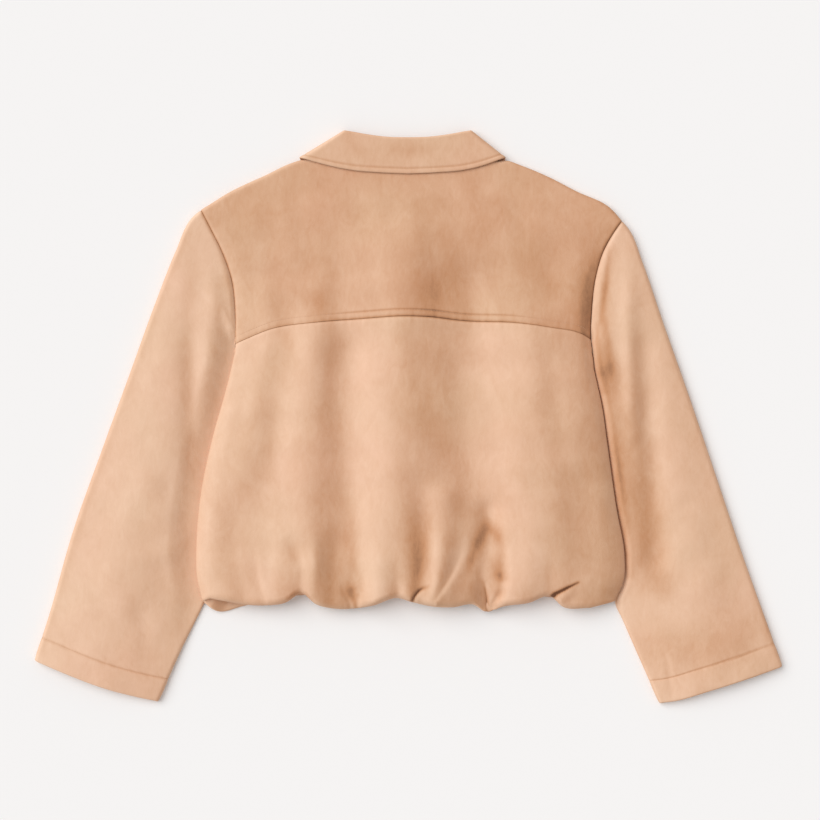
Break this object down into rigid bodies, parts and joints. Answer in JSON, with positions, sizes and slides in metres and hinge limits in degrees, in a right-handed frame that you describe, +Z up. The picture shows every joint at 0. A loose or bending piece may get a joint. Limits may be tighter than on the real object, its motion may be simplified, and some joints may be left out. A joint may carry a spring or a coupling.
{
  "type": "suede jacket",
  "caption": "Cropped suede jacket lying face down, flat: shirt collar, back yoke, set-in sleeves with stitched hems, and a gathered bubble hem turned under.",
  "frame": {"origin": "on the surface the jacket lies on, below the centre of its outline's box", "axes": "+X to the wearer's right sleeve, +Y to the collar, +Z up from the surface, out of the jacket's back"},
  "size_m": [0.8788, 0.6736, 0.0356],
  "materials": {
    "suede": "napped suede"
  },
  "bodies": {
    "root": {"back_yoke": "suede", "back_panel": "suede", "front_left": "suede", "front_right": "suede", "sleeve_left": "suede", "sleeve_right": "suede", "collar": "suede"}
  },
  "joints": []
}
